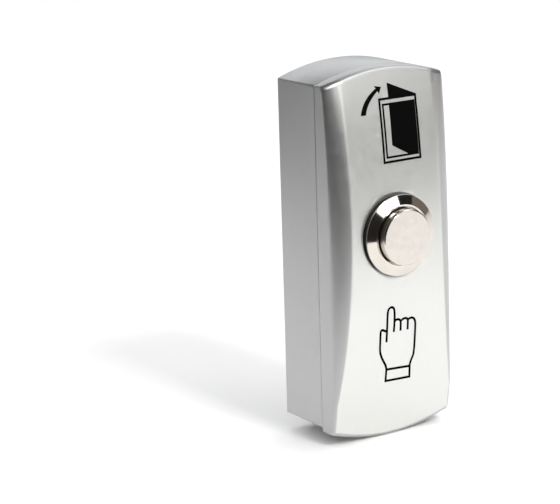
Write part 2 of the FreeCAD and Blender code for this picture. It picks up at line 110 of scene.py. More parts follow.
def front_depth(x, z):
    """The arched front, with a facet that curves from its crease back to the side."""
    start = min(crease(z), HALF_WIDTH - FACET_LEAST)
    width = HALF_WIDTH - start
    past = abs(x) - start
    share = min(max(past / width, 0.0), 1.0)
    straight = FACET_SLOPE * soft_ramp(past, CREASE_BLEND)
    curved = FACET_CURVE * width * (1 - math.sqrt(1 - share ** 2))
    return arch_depth(z) - facet_fall(z) / FACET_FALL[0] * (straight + curved)


# ------------------------------------------------------------------ mesh helpers

SHARP_DEGREES = 35.0
SAME_POINT = 1e-8
ON_AXIS = 1e-6
TURN_STEPS = 200
ROUNDING_STEPS = 5
HELD_MARGIN = 0.04          # from a long side's end to the point that keeps it straight
HELD_LEAST = 0.3            # the shortest side that gets such points


def make_object(name, points, faces, sharp_degrees=SHARP_DEGREES):
    """A smooth-shaded mesh of points given as (x, depth, z); points that coincide become one."""
    mesh = bpy.data.meshes.new(name)
    mesh.from_pydata([(x * MM, -depth * MM, z * MM) for x, depth, z in points], [], faces)
    mesh.validate()
    mesh.update()
    piece = bpy.data.objects.new(name, mesh)
    bpy.context.scene.collection.objects.link(piece)
    turn_outward(mesh)
    for polygon in mesh.polygons:
        polygon.use_smooth = True
    mesh.set_sharp_from_angle(angle=math.radians(sharp_degrees))
    return piece


def turn_outward(mesh):
    work = bmesh.new()
    work.from_mesh(mesh)
    bmesh.ops.remove_doubles(work, verts=work.verts, dist=SAME_POINT)
    bmesh.ops.recalc_face_normals(work, faces=work.faces)
    work.to_mesh(mesh)
    work.free()


def strips(rings, closed=True):
    """Faces between rings of equal length whose points follow one another."""
    count = len(rings[0])
    faces = []
    for row in range(len(rings) - 1):
        for step in range(count if closed else count - 1):
            after = (step + 1) % count
            lower = row * count
            upper = lower + count
            faces.append((lower + step, lower + after, upper + after, upper + step))
    return faces


def ring_points(rings):
    return [point for ring in rings for point in ring]


def turn_points(radius, steps):
    angles = [2 * math.pi * step / steps for step in range(steps)]
    return [(radius * math.cos(angle), radius * math.sin(angle)) for angle in angles]


def lathe(name, profile, sharp_degrees):
    """A closed profile of (radius, depth) turned about the button's axis."""
    points = []
    rows = []
    for radius, depth in profile:
        first = len(points)
        if radius < ON_AXIS:
            rows.append([first] * TURN_STEPS)
            points.append((0.0, depth, BUTTON_Z))
        else:
            rows.append(list(range(first, first + TURN_STEPS)))
            points += [(x, depth, BUTTON_Z + z) for x, z in turn_points(radius, TURN_STEPS)]
    faces = []
    for low, high in zip(rows, rows[1:] + rows[:1]):
        for step in range(TURN_STEPS):
            after = (step + 1) % TURN_STEPS
            corners = (low[step], low[after], high[after], high[step])
            face = tuple(dict.fromkeys(corners))
            if len(face) > 2:
                faces.append(face)
    return make_object(name, points, faces, sharp_degrees)


def rounded(profile, radii):
    """The closed profile with the corners named in radii {index: radius} rounded."""
    result = []
    count = len(profile)
    for index, corner in enumerate(profile):
        if index not in radii:
            result.append(corner)
            continue
        here = Vector(corner)
        before = Vector(profile[index - 1]) - here
        after = Vector(profile[(index + 1) % count]) - here
        angle = before.angle(after)
        reach = radii[index] / math.tan(angle / 2)
        start = here + before.normalized() * reach
        end = here + after.normalized() * reach
        for step in range(ROUNDING_STEPS + 1):
            t = step / ROUNDING_STEPS
            curve = start * (1 - t) ** 2 + here * 2 * t * (1 - t) + end * t ** 2
            result.append(tuple(curve))
    return result


def held(profile):
    """The profile with a point close to each end of its long sides, which keeps them straight."""
    result = []
    for index, corner in enumerate(profile):
        here = Vector(corner)
        side = Vector(profile[(index + 1) % len(profile)]) - here
        on_axis = here.x < ON_AXIS and here.x + side.x < ON_AXIS
        result.append(corner)
        if side.length > HELD_LEAST and not on_axis:
            step = side.normalized() * HELD_MARGIN
            result.append(tuple(here + step))
            result.append(tuple(here + side - step))
    return result


# ------------------------------------------------------------------ outline of the housing

END_STEPS = 60
SIDE_STEPS = 120
BLEND_SAMPLES = 6
BLEND_LOSS = 0.4            # how quickly the corner blend shrinks with the inset
END_START = 1.2             # an arched end's edge rounding begins this far below the end
END_RUN = 1.6
CORNER_X = 14.0


def eased_shares(count):
    """Shares from 0 towards 1 that lie closer together near both ends."""
    return [0.5 - 0.5 * math.cos(math.pi * step / count) for step in range(count)]


def sharp_outline(half_width, half_side, rise, middle):
    """Closely spaced (x, z) points round an upright outline with arched ends."""
    radius = (half_width ** 2 + rise ** 2) / (2 * rise)
    points = []
    for share in eased_shares(END_STEPS):
        x = half_width - 2 * half_width * share
        points.append((x, half_side + rise - radius + math.sqrt(radius ** 2 - x ** 2)))
    for share in eased_shares(SIDE_STEPS):
        points.append((-half_width, half_side - 2 * half_side * share))
    for share in eased_shares(END_STEPS):
        x = -half_width + 2 * half_width * share
        points.append((x, -half_side - rise + radius - math.sqrt(radius ** 2 - x ** 2)))
    for share in eased_shares(SIDE_STEPS):
        points.append((half_width, -half_side + 2 * half_side * share))
    return [(x, z + middle) for x, z in points]


def softened(points, reach):
    """The outline with its corners rounded, by averaging along a short reach."""
    if reach <= 0:
        return points
    count = len(points)
    lengths = [math.dist(points[step], points[(step + 1) % count]) for step in range(count)]
    total = sum(lengths)
    places = [0.0]
    for length in lengths[:-1]:
        places.append(places[-1] + length)

    def at(place):
        place %= total
        low = bisect.bisect_right(places, place) - 1
        share = (place - places[low]) / lengths[low] if lengths[low] else 0.0
        start, end = points[low], points[(low + 1) % count]
        return (start[0] + (end[0] - start[0]) * share, start[1] + (end[1] - start[1]) * share)

    result = []
    for place in places:
        near = [at(place + reach * offset / BLEND_SAMPLES)
                for offset in range(-BLEND_SAMPLES, BLEND_SAMPLES + 1)]
        result.append((sum(x for x, _ in near) / len(near), sum(z for _, z in near) / len(near)))
    return result


def outline(inset, half_side, rise=END_RISE, middle=0.0):
    points = sharp_outline(HALF_WIDTH - inset, half_side - inset, rise, middle)
    return softened(points, max(CORNER_BLEND - BLEND_LOSS * inset, 0.0))


def end_share(x, z):
    """0 on the straight sides of the cover's outline and 1 on its arched ends."""
    if abs(x) <= CORNER_X:
        return float(abs(z) > HALF_SIDE)
    return min(max((abs(z) - HALF_SIDE + END_START) / END_RUN, 0.0), 1.0)


def quarter_turn(radius, steps):
    """Pairs of 1 - sin and 1 - cos over a quarter turn, times the radius."""
    angles = [math.pi / 2 * step / steps for step in range(steps + 1)]
    return [(radius * (1 - math.sin(angle)), radius * (1 - math.cos(angle))) for angle in angles]


# ------------------------------------------------------------------ front cover

SPOT_RADIUS = 9.12
SPOT_DEPTH = 20.7
HOLE_RADIUS = 8.15
NUT_WELL_RADIUS = 11.4
NUT_SEAT = 19.2
RIM_DEPTH = 15.6
LIP_BACK = 12.6
LIP_INSET = 2.15
LIP_WALL_INSET = 3.35
SEAM_STEPS = 4
WALL_SHARES = (0.33, 0.67, 1.0)
EDGE_STEPS = 10
FRONT_STEPS = 72
FRONT_SPACING = 1.5         # above 1 the rings of the front lie closer together at its edge
SPOT_EDGE = ((0.12, 0.0), (0.05, 0.03), (0.0, 0.12))    # radius added and depth lost
SCREW_LUG = ((-4.0, 5.0, -37.6), (4.0, RIM_DEPTH + 0.3, -31.4))
HOOK_ARM = ((-6.0, 8.5, 33.6), (6.0, RIM_DEPTH + 0.3, 35.4))
HOOK_TIP = ((-6.0, 8.5, 35.0), (6.0, 10.0, 37.4))
BLOCK_BEVEL = 0.25
# Painted shade on the silver: faces turned away from the front get a darker base colour, which
# fades out as they turn to face the front.
PAINTED_SHADE_MASK = "painted_shade_facing"
FRONT_LEAST = 0.93          # how squarely a point faces the front where the share is 0
FRONT_MOST = 0.985          # and where it is 1
# colour factor of the painted shade, at its fullest on faces turned away from the front
PAINTED_SIDE_SHADE = (0.66, 0.665, 0.68)


def circle_like(points, radius, depth):
    """One point on a circle about the button's axis in the direction of each outline point."""
    ring = []
    for x, z in points:
        length = math.hypot(x, z - BUTTON_Z)
        ring.append((x * radius / length, depth, BUTTON_Z + (z - BUTTON_Z) * radius / length))
    return ring


def edge_ring(ends, turn):
    """One ring over the rounded edge between the cover's wall and its front."""
    insets = [outline(radius * (1 - math.cos(turn)), HALF_SIDE)
              for radius in (SIDE_ROUNDING, END_ROUNDING)]
    ring = []
    for index, share in enumerate(ends):
        side, end = insets[0][index], insets[1][index]
        x = side[0] + (end[0] - side[0]) * share
        z = side[1] + (end[1] - side[1]) * share
        loss = edge_radius(share) * (1 - math.sin(turn))
        ring.append((x, front_depth(x, z) - loss, z))
    return ring


def edge_radius(share):
    return SIDE_ROUNDING + (END_ROUNDING - SIDE_ROUNDING) * share


def cover_rings():
    """Rings from the button hole over the inside, the wall and the front, back to the hole."""
    edge = outline(0.0, HALF_SIDE)
    ends = [end_share(x, z) for x, z in edge]
    lip = outline(LIP_INSET, BOX_HALF_SIDE, INNER_RISE, BOX_LIFT)
    lip_inner = outline(LIP_WALL_INSET, BOX_HALF_SIDE, INNER_RISE, BOX_LIFT)
    back = SEAM + SEAM_GAP

    rings = [circle_like(edge, HOLE_RADIUS, NUT_SEAT), circle_like(edge, NUT_WELL_RADIUS, NUT_SEAT),
             circle_like(edge, NUT_WELL_RADIUS, RIM_DEPTH)]
    rings += [[(x, depth, z) for x, z in points]
              for points, depth in ((lip_inner, RIM_DEPTH), (lip_inner, LIP_BACK),
                                    (lip, LIP_BACK), (lip, back))]
    for inset, rise in quarter_turn(SEAM_ROUNDING, SEAM_STEPS):
        rings.append([(x, back + rise, z) for x, z in outline(inset, HALF_SIDE)])
    start = back + SEAM_ROUNDING
    for height in WALL_SHARES:
        rings.append([(x, start + (front_depth(x, z) - edge_radius(share) - start) * height, z)
                      for (x, z), share in zip(edge, ends)])
    for step in range(1, EDGE_STEPS + 1):
        rings.append(edge_ring(ends, math.pi / 2 * step / EDGE_STEPS))
    rim = rings[-1]
    spot = circle_like(edge, SPOT_RADIUS + SPOT_EDGE[0][0], 0.0)
    for step in range(1, FRONT_STEPS + 1):
        t = (step / FRONT_STEPS) ** FRONT_SPACING
        middles = [(x0 + (x1 - x0) * t, z0 + (z1 - z0) * t)
                   for (x0, _, z0), (x1, _, z1) in zip(rim, spot)]
        rings.append([(x, front_depth(x, z), z) for x, z in middles])
    for extra, drop in SPOT_EDGE[1:]:
        rings.append([(x, front_depth(x, z) - drop, z)
                      for x, _, z in circle_like(edge, SPOT_RADIUS + extra, 0.0)])
    rings.append(circle_like(edge, SPOT_RADIUS, SPOT_DEPTH))
    rings.append(circle_like(edge, HOLE_RADIUS, SPOT_DEPTH))
    rings.append(rings[0])
    return rings


def block(low, high, bevel=BLOCK_BEVEL):
    """Points and faces of a block with bevelled edges between two (x, depth, z) corners."""
    work = bmesh.new()
    bmesh.ops.create_cube(work, size=1.0)
    for vertex in work.verts:
        vertex.co = Vector([a + (b - a) * (c + 0.5) for a, b, c in zip(low, high, vertex.co)])
    bmesh.ops.bevel(work, geom=list(work.edges), offset=bevel, segments=2, affect="EDGES")
    work.verts.index_update()
    points = [tuple(vertex.co) for vertex in work.verts]
    faces = [tuple(vertex.index for vertex in face.verts) for face in work.faces]
    work.free()
    return points, faces


def joined(shells):
    """The points and faces of several shells as one list each."""
    points, faces = [], []
    for shell_points, shell_faces in shells:
        first = len(points)
        points += shell_points
        faces += [tuple(index + first for index in face) for face in shell_faces]
    return points, faces


def mark_painted_shade(piece):
    """Stores how squarely each point faces the front, from 0 on a facet to 1 on the arch; this
    masks the painted shade.
    """
    share = piece.data.attributes.new(PAINTED_SHADE_MASK, "FLOAT", "POINT")
    for point, normal in zip(share.data, piece.data.vertex_normals):
        shade_facing = (-normal.vector.y - FRONT_LEAST) / (FRONT_MOST - FRONT_LEAST)
        point.value = min(1.0, max(0.0, shade_facing))


def make_cover():
    rings = cover_rings()
    shells = [(ring_points(rings), strips(rings)),
              block(*SCREW_LUG), block(*HOOK_ARM), block(*HOOK_TIP)]
    cover = make_object("cover_shell", *joined(shells))
    mark_painted_shade(cover)
    return cover


# ------------------------------------------------------------------ back box

FLOOR_DEPTH = 2.0
WALL = 2.0
WALL_HOLE_Z = 30.0
WALL_HOLE_RADIUS = 2.1
CABLE_Z = -17.0
CABLE_RADIUS = 5.0
RECESS_RADIUS = 6.5
RECESS_DEPTH = 0.8
SCREW_DEPTH = 9.0
SCREW_STEPS = 48
SCREW_HOLE = ((0.001, -1.0), (3.0, -1.0), (3.0, 0.05), (1.7, 1.5), (1.7, 3.2), (0.001, 3.2))
LEDGE = ((-7.0, 10.3, 36.2), (7.0, 11.8, 39.2), 0.15)
CIRCLE_STEPS = 64


def flat(loops):
    """Triangles over a flat area between an outer loop and the holes in it."""
    return tessellate_polygon([[Vector((x, z, 0.0)) for x, _, z in loop] for loop in loops])


def circle(radius, depth, centre_z):
    return [(x, depth, centre_z + z) for x, z in turn_points(radius, CIRCLE_STEPS)]


def back_holes():
    """The tubes of the holes in the back: two for wall screws and a stepped one for the cable."""
    tubes = [[circle(WALL_HOLE_RADIUS, depth, z) for depth in (0.0, FLOOR_DEPTH)]
             for z in (WALL_HOLE_Z, -WALL_HOLE_Z)]
    steps = ((RECESS_RADIUS, 0.0), (RECESS_RADIUS, RECESS_DEPTH),
             (CABLE_RADIUS, RECESS_DEPTH), (CABLE_RADIUS, FLOOR_DEPTH))
    tubes.append([circle(radius, depth, CABLE_Z) for radius, depth in steps])
    return tubes


def make_box():
    inner = outline(WALL, BOX_HALF_SIDE, INNER_RISE, BOX_LIFT)
    front = SEAM - SEAM_GAP
    rings = [[(x, depth, z) for x, z in inner] for depth in (FLOOR_DEPTH, front)]
    for inset, fall in quarter_turn(SEAM_ROUNDING, SEAM_STEPS):
        rings.append([(x, front - fall, z)
                      for x, z in outline(inset, BOX_HALF_SIDE, END_RISE, BOX_LIFT)])
    for back, inset in quarter_turn(SEAM_ROUNDING, SEAM_STEPS):
        rings.append([(x, back, z)
                      for x, z in outline(inset, BOX_HALF_SIDE, END_RISE, BOX_LIFT)])
    tubes = back_holes()
    outside = [rings[-1]] + [tube[0] for tube in tubes]
    inside = [rings[0]] + [tube[-1] for tube in tubes]
    shells = [(ring_points(part), strips(part)) for part in [rings] + tubes]
    shells += [(ring_points(loops), flat(loops)) for loops in (outside, inside)]
    return make_object("box_shell", *joined(shells + [block(*LEDGE)]))


def cut_screw_hole(box):
    """The countersunk hole through the bottom end, cut out of the box."""
    bottom = BOX_LIFT - BOX_HALF_SIDE - END_RISE
    rings = [[(x, SCREW_DEPTH + y, bottom + rise) for x, y in turn_points(radius, SCREW_STEPS)]
             for radius, rise in SCREW_HOLE]
    last = (len(rings) - 1) * SCREW_STEPS
    ends = [tuple(range(SCREW_STEPS)), tuple(range(last, last + SCREW_STEPS))]
    cutter = make_object("screw_hole_cutter", ring_points(rings), strips(rings) + ends)
    cut = box.modifiers.new("screw_hole", "BOOLEAN")
    cut.operation = "DIFFERENCE"
    cut.solver = "EXACT"
    cut.object = cutter
    apply_modifiers(box)
    bpy.data.objects.remove(cutter)
    box.data.set_sharp_from_angle(angle=math.radians(SHARP_DEGREES))


def apply_modifiers(piece):
    bpy.context.view_layer.update()
    shown = piece.evaluated_get(bpy.context.evaluated_depsgraph_get())
    mesh = bpy.data.meshes.new_from_object(shown)
    piece.modifiers.clear()
    piece.data = mesh


# ------------------------------------------------------------------ push button

# profiles of (radius, depth), and the radii of their rounded corners by index
BEZEL = [(7.95, 11.1), (7.95, 22.1), (8.97, 22.1), (8.97, 22.45), (6.95, 23.25), (6.56, 23.25),
         (6.48, 23.17), (6.48, 18.9), (3.05, 18.9), (3.05, 16.9), (6.6, 16.9), (6.6, 11.1)]
BEZEL_ROUNDING = {0: 0.2, 2: 0.08, 3: 0.07, 4: 0.05, 5: 0.03, 6: 0.03, 11: 0.2}
BEZEL_SHARP = 28.0
CAP = [(0.0, 25.1), (5.92, 25.1), (6.2, 24.82), (6.2, 20.8), (5.35, 20.8), (5.35, 23.9),
       (3.0, 23.9), (3.0, 24.2), (0.0, 24.2)]
CAP_ROUNDING = {1: 0.14, 2: 0.14, 3: 0.1, 4: 0.1}
CAP_SHARP = 50.0
RETURN_SPRING = {"wire": 0.5, "coil_radius": 4.2, "back": 19.0, "front": 23.8, "turns": 4}
CONTACT_SPRING = {"wire": 0.3, "coil_radius": 1.75, "back": 7.35, "front": 11.3, "turns": 5}
RETURN_KEEP = 0.66          # share of its length a spring keeps when the button is pressed
CONTACT_KEEP = 0.62
COIL_SIDES = 10
COIL_STEPS = 40
COIL_SHARP = 60.0
CLOSED_TURN = 0.8
CLOSED_PITCH = 0.9          # rise of a closed end turn, in wire diameters


def make_bezel():
    return lathe("bezel_turned", held(rounded(BEZEL, BEZEL_ROUNDING)), BEZEL_SHARP)


def make_cap():
    return lathe("cap_turned", held(rounded(CAP, CAP_ROUNDING)), CAP_SHARP)


def coil_depth(share, wire, back, front, turns):
    """Depth of the wire's middle: closed end turns, and an even pitch between them."""
    closed = CLOSED_TURN / turns
    eased = min(max((share - closed) / (1 - 2 * closed), 0.0), 1.0)
    first = wire * min(share / closed, 1.0) * CLOSED_PITCH
    last = wire * max((share - 1 + closed) / closed, 0.0) * CLOSED_PITCH
    free = front - back - wire * (1 + 2 * CLOSED_PITCH)
    return back + wire / 2 + first + last + free * eased


def make_coil(name, wire, coil_radius, back, front, turns):
    """A coil spring on the button's axis with its end turns closed."""
    count = turns * COIL_STEPS
    rings = []
    for step in range(count + 1):
        share = step / count
        angle = 2 * math.pi * turns * share
        out = Vector((math.cos(angle), 0.0, math.sin(angle)))
        depth = coil_depth(share, wire, back, front, turns)
        centre = out * coil_radius + Vector((0.0, depth, BUTTON_Z))
        rings.append([tuple(centre + out * outward + Vector((0.0, forward, 0.0)))
                      for outward, forward in turn_points(wire / 2, COIL_SIDES)])
    ends = [tuple(range(COIL_SIDES)), tuple(range(count * COIL_SIDES, (count + 1) * COIL_SIDES))]
    return make_object(name, ring_points(rings), strips(rings) + ends, COIL_SHARP)


# ------------------------------------------------------------------ printed symbols

INK_HEIGHT = 0.02
INK_DEPTH = 0.05
FRAME_LINE = 0.52
LEAF_LINE = 0.442
HAND_LINE = 0.55
CORNER_CUTS = 2
LINE_SPACING = 0.9
LONGEST_MITRE = 2.5         # in half line widths
ARROW_STEPS = 24


def ink_plate(rows):
    """A thin closed plate over a grid of (x, z) rows, lying on the arched front."""
    top = [[(x, front_depth(x, z) + INK_HEIGHT, z) for x, z in row] for row in rows]
    low = [[(x, front_depth(x, z) - INK_DEPTH, z) for x, z in row] for row in rows]
    wide = len(rows[0])
    points = ring_points(top) + ring_points(low)
    second = len(rows) * wide
    faces = strips(top, closed=False)
    faces += [tuple(index + second for index in reversed(face)) for face in list(faces)]
    border = list(range(wide))
    border += [row * wide + wide - 1 for row in range(1, len(rows))]
    border += [(len(rows) - 1) * wide + step for step in range(wide - 2, -1, -1)]
    border += [row * wide for row in range(len(rows) - 2, 0, -1)]
    for here, after in zip(border, border[1:] + border[:1]):
        faces.append((here, here + second, after + second, after))
    return points, faces


def resampled(path, spacing):
    """The path with extra points so that no run is longer than the spacing."""
    result = []
    for start, end in zip(path, path[1:]):
        runs = max(1, math.ceil(math.dist(start, end) / spacing))
        for step in range(runs):
            share = step / runs
            result.append((start[0] + (end[0] - start[0]) * share,
                           start[1] + (end[1] - start[1]) * share))
    return result + [path[-1]]


def smoothed(path):
    """The open path with its corners cut round, and its ends kept."""
    for _ in range(CORNER_CUTS):
        cut = [path[0]]
        for start, end in zip(path, path[1:]):
            for share in (0.25, 0.75):
                cut.append((start[0] + (end[0] - start[0]) * share,
                            start[1] + (end[1] - start[1]) * share))
        path = cut + [path[-1]]
    return path


def stroke(path, width, closed=False):
    """A line of even width along a path, with mitred corners."""
    path = resampled(path + path[:1] if closed else path, LINE_SPACING)
    if closed:
        path = path[:-1]
    count = len(path)
    rows = []
    for index, (x, z) in enumerate(path):
        before = path[index - 1] if closed or index else path[index]
        after = path[(index + 1) % count] if closed or index < count - 1 else path[index]
        first = Vector((x - before[0], z - before[1]))
        second = Vector((after[0] - x, after[1] - z))
        if first.length < SAME_POINT:
            first = second
        if second.length < SAME_POINT:
            second = first
        normals = [Vector((-run.y, run.x)).normalized() for run in (first, second)]
        mitre = normals[0] + normals[1]
        mitre = mitre / max(mitre.dot(normals[0]), 1 / LONGEST_MITRE)
        rows.append([(x + mitre.x * width / 2 * side, z + mitre.y * width / 2 * side)
                     for side in (-1, 1)])
    if not closed:
        return ink_plate(rows)
    return closed_ribbon(rows)


def closed_ribbon(rows):
    """A thin closed band whose last row joins its first."""
    rings = []
    for side, lift in ((0, INK_HEIGHT), (1, INK_HEIGHT), (1, -INK_DEPTH), (0, -INK_DEPTH)):
        rings.append([(row[side][0], front_depth(*row[side]) + lift, row[side][1])
                      for row in rows])
    rings.append(rings[0])
    return ring_points(rings), strips(rings)


def patch(corners, across, along):
    """A four-cornered solid area; the corners run round it."""
    a, b, c, d = [Vector(corner) for corner in corners]
    rows = []
    for row in range(along + 1):
        share = row / along
        left = a.lerp(d, share)
        right = b.lerp(c, share)
        rows.append([tuple(left.lerp(right, step / across)) for step in range(across + 1)])
    return ink_plate(rows)


def arrow():
    """A curved arrow that widens towards its tail, with a barbed head."""
    sides = [(Vector((-7.6, 31.72)), Vector((-6.87, 35.0)), Vector((-2.95, 37.1))),
             (Vector((-6.25, 31.68)), Vector((-5.84, 34.13)), Vector((-2.5, 36.55)))]
    rows = []
    for step in range(ARROW_STEPS + 1):
        t = step / ARROW_STEPS
        rows.append([tuple(start * (1 - t) ** 2 + bow * 2 * t * (1 - t) + end * t ** 2)
                     for start, bow, end in sides])
    head = patch([(-3.42, 37.6), (-2.28, 35.85), (-1.63, 37.18), (-1.66, 37.24)], 6, 6)
    return [ink_plate(rows), head]


def door():
    """A frame of two outlines, an open leaf inside it and its top edge seen above it."""
    shapes = [stroke([(-2.46, 34.6), (7.16, 34.6), (7.16, 21.05), (-2.46, 21.05)],
                     FRAME_LINE, True),
              stroke([(-1.65, 33.38), (6.62, 33.38), (6.62, 22.04), (-1.65, 22.04)],
                     LEAF_LINE, True)]
    shapes.append(patch([(-0.02, 33.4), (6.7, 33.4), (6.7, 24.5), (-0.1, 24.5)], 10, 12))
    shapes.append(patch([(-0.1, 24.52), (6.7, 24.52), (6.7, 21.95), (4.4, 22.0)], 10, 6))
    shapes.append(patch([(0.02, 37.95), (7.4, 34.8), (7.42, 34.6), (0.02, 34.6)], 10, 8))
    return shapes


def hand():
    """A hand that points upwards, with three folded fingers, a thumb and a cuff."""
    paths = [
        [(-2.95, -19.0), (-2.9, -16.2), (-2.84, -12.3), (-2.62, -11.45), (-1.85, -11.02),
         (-1.15, -11.4), (-0.95, -12.3), (-0.9, -14.0), (-1.03, -16.95)],
        [(-0.85, -14.5), (-0.5, -14.22), (0.1, -14.18), (0.62, -14.5), (0.8, -14.85),
         (0.8, -17.0)],
        [(0.8, -14.75), (1.25, -14.42), (1.95, -14.22), (2.5, -14.45), (2.76, -14.75),
         (2.74, -17.05)],
        [(2.78, -14.75), (3.2, -14.52), (3.85, -14.45), (4.5, -14.85), (4.82, -15.7),
         (4.84, -17.0), (4.8, -20.0), (4.74, -22.6), (4.5, -23.6), (4.05, -24.5),
         (3.8, -25.3), (3.76, -25.9)],
        [(-2.88, -16.5), (-3.5, -16.3), (-4.1, -15.9), (-4.55, -16.05), (-4.65, -16.8),
         (-4.66, -18.9), (-4.64, -20.8), (-4.3, -22.0), (-3.55, -23.4), (-2.85, -24.5),
         (-2.66, -25.5)]]
    shapes = [stroke(smoothed(path), HAND_LINE) for path in paths]
    shapes.append(stroke([(-2.66, -25.45), (3.76, -25.82), (3.87, -28.4), (-2.71, -28.15)],
                         HAND_LINE, True))
    return shapes


# ------------------------------------------------------------------ materials

NOISE_RANGE = (0.3, 0.7)    # the part of a noise's values that is spread out
GRAIN_HEIGHT = 0.00002


class Nodes:
    """Short ways to add nodes to one material."""

    def __init__(self, name):
        self.material = bpy.data.materials.new(name)
        self.material.use_nodes = True
        self.tree = self.material.node_tree
        self.shader = self.tree.nodes["Principled BSDF"]
        self.place = self.tree.nodes.new("ShaderNodeTexCoord").outputs["Object"]

    def add(self, kind, **values):
        node = self.tree.nodes.new("ShaderNode" + kind)
        for key, value in values.items():
            setattr(node, key, value)
        return node

    def link(self, source, target):
        self.tree.links.new(source, target)

    def noise(self, scale, detail, roughness):
        node = self.add("TexNoise")
        node.inputs["Scale"].default_value = scale
        node.inputs["Detail"].default_value = detail
        node.inputs["Roughness"].default_value = roughness
        self.link(self.place, node.inputs["Vector"])
        return node.outputs["Fac"]

    def spread(self, value, low, high):
        node = self.add("MapRange")
        for key, number in (("From Min", NOISE_RANGE[0]), ("From Max", NOISE_RANGE[1]),
                            ("To Min", low), ("To Max", high)):
            node.inputs[key].default_value = number
        self.link(value, node.inputs["Value"])
        return node.outputs["Result"]

    def blend(self, value, first, second, between=NOISE_RANGE):
        node = self.add("ValToRGB")
        node.color_ramp.elements[0].position = between[0]
        node.color_ramp.elements[1].position = between[1]
        node.color_ramp.elements[0].color = (*first, 1.0)
        node.color_ramp.elements[1].color = (*second, 1.0)
        self.link(value, node.inputs["Fac"])
        return node.outputs["Color"]

    def bump(self, value, strength):
        node = self.add("Bump")
        node.inputs["Strength"].default_value = strength
        node.inputs["Distance"].default_value = GRAIN_HEIGHT
        self.link(value, node.inputs["Height"])
        self.link(node.outputs["Normal"], self.shader.inputs["Normal"])


def finish_material(name, metallic, first, second, rough, scales, grain):
    """A finish whose colour, gloss and fine surface vary at the three noise scales."""
    colour_scale, rough_scale, grain_scale = scales
    nodes = Nodes(name)
    nodes.shader.inputs["Metallic"].default_value = metallic
    nodes.link(nodes.blend(nodes.noise(colour_scale, 4.0, 0.6), first, second),
               nodes.shader.inputs["Base Color"])
    nodes.link(nodes.spread(nodes.noise(rough_scale, 3.0, 0.55), *rough),
               nodes.shader.inputs["Roughness"])
    nodes.bump(nodes.noise(grain_scale, 2.0, 0.5), grain)
    return nodes


def silver_lacquer(name, first, second):
    """Satin silver with painted shade: faces turned away from the front get a darker base colour.
    """
    nodes = finish_material(name, 0.93, first, second, rough=(0.33, 0.41),
                            scales=(9000.0, 700.0, 7000.0), grain=0.35)
    shade = nodes.shader.inputs["Base Color"].links[0].from_socket
    # painted shade: the base colour is multiplied down on faces turned away from the front
    shade_facing = nodes.add("Attribute", attribute_name=PAINTED_SHADE_MASK)
    painted_shade_mix = nodes.add("Mix", data_type="RGBA", blend_type="MULTIPLY")
    painted_shade_mix.inputs["Factor"].default_value = 1.0
    nodes.link(shade, painted_shade_mix.inputs["A"])
    nodes.link(nodes.blend(shade_facing.outputs["Fac"], PAINTED_SIDE_SHADE, (1.0, 1.0, 1.0),
                           between=(0.0, 1.0)),
               painted_shade_mix.inputs["B"])
    nodes.link(painted_shade_mix.outputs["Result"], nodes.shader.inputs["Base Color"])
    nodes.shader.inputs["Coat Weight"].default_value = 0.12
    nodes.shader.inputs["Coat Roughness"].default_value = 0.25
    return nodes.material


def polished_nickel():
    nodes = finish_material("polished_nickel", 1.0, (0.66, 0.62, 0.565), (0.70, 0.66, 0.605),
                            rough=(0.05, 0.09), scales=(300.0, 500.0, 900.0), grain=0.03)
    return nodes.material


def satin_nickel():
    nodes = finish_material("satin_nickel_cap", 1.0, (0.68, 0.635, 0.59), (0.71, 0.665, 0.62),
                            rough=(0.20, 0.27), scales=(500.0, 900.0, 6000.0), grain=0.06)
    return nodes.material


def plain_finishes():
    finishes = {
        "steel": finish_material(
            "zinc_plated_steel", 1.0, (0.55, 0.56, 0.57), (0.63, 0.63, 0.62),
            rough=(0.25, 0.38), scales=(600.0, 900.0, 5000.0), grain=0.1),
        "contact_brass": finish_material(
            "contact_brass", 1.0, (0.72, 0.52, 0.24), (0.78, 0.58, 0.30),
            rough=(0.2, 0.34), scales=(500.0, 900.0, 4000.0), grain=0.1),
        "black_plastic": finish_material(
            "moulded_black_plastic", 0.0, (0.02, 0.02, 0.021), (0.03, 0.03, 0.031),
            rough=(0.38, 0.5), scales=(900.0, 700.0, 6000.0), grain=0.2),
        "white_plastic": finish_material(
            "moulded_white_plastic", 0.0, (0.74, 0.73, 0.70), (0.79, 0.78, 0.75),
            rough=(0.35, 0.46), scales=(700.0, 700.0, 5000.0), grain=0.15),
        "black_rubber": finish_material(
            "black_rubber", 0.0, (0.018, 0.018, 0.018), (0.03, 0.03, 0.03),
            rough=(0.6, 0.75), scales=(700.0, 500.0, 3500.0), grain=0.3),
    }
    return {name: nodes.material for name, nodes in finishes.items()}


def printed_ink():
    nodes = finish_material("printed_black_ink", 0.0, (0.001, 0.001, 0.001),
                            (0.003, 0.003, 0.003), rough=(0.6, 0.75),
                            scales=(2500.0, 1500.0, 9000.0), grain=0.12)
    nodes.shader.inputs["Specular IOR Level"].default_value = 0.03
    return nodes.material


def assign(piece, material):
    piece.data.materials.clear()
    piece.data.materials.append(material)


# ------------------------------------------------------------------ put together

silver = silver_lacquer("satin_silver", (0.735, 0.735, 0.712), (0.795, 0.795, 0.772))
nickel = polished_nickel()
cap_nickel = satin_nickel()
ink = printed_ink()
finishes = plain_finishes()
finishes["satin_zinc"] = silver
finishes["bright_nickel"] = nickel

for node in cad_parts.values():
    for place in node.material_slots:
        place.material = finishes[place.material.name.split(".")[0]]


def place_piece(piece, body, material, slot, *nodes):
    assign(piece, material)
    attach(piece, body)
    if nodes:
        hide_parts(*nodes)
    return piece


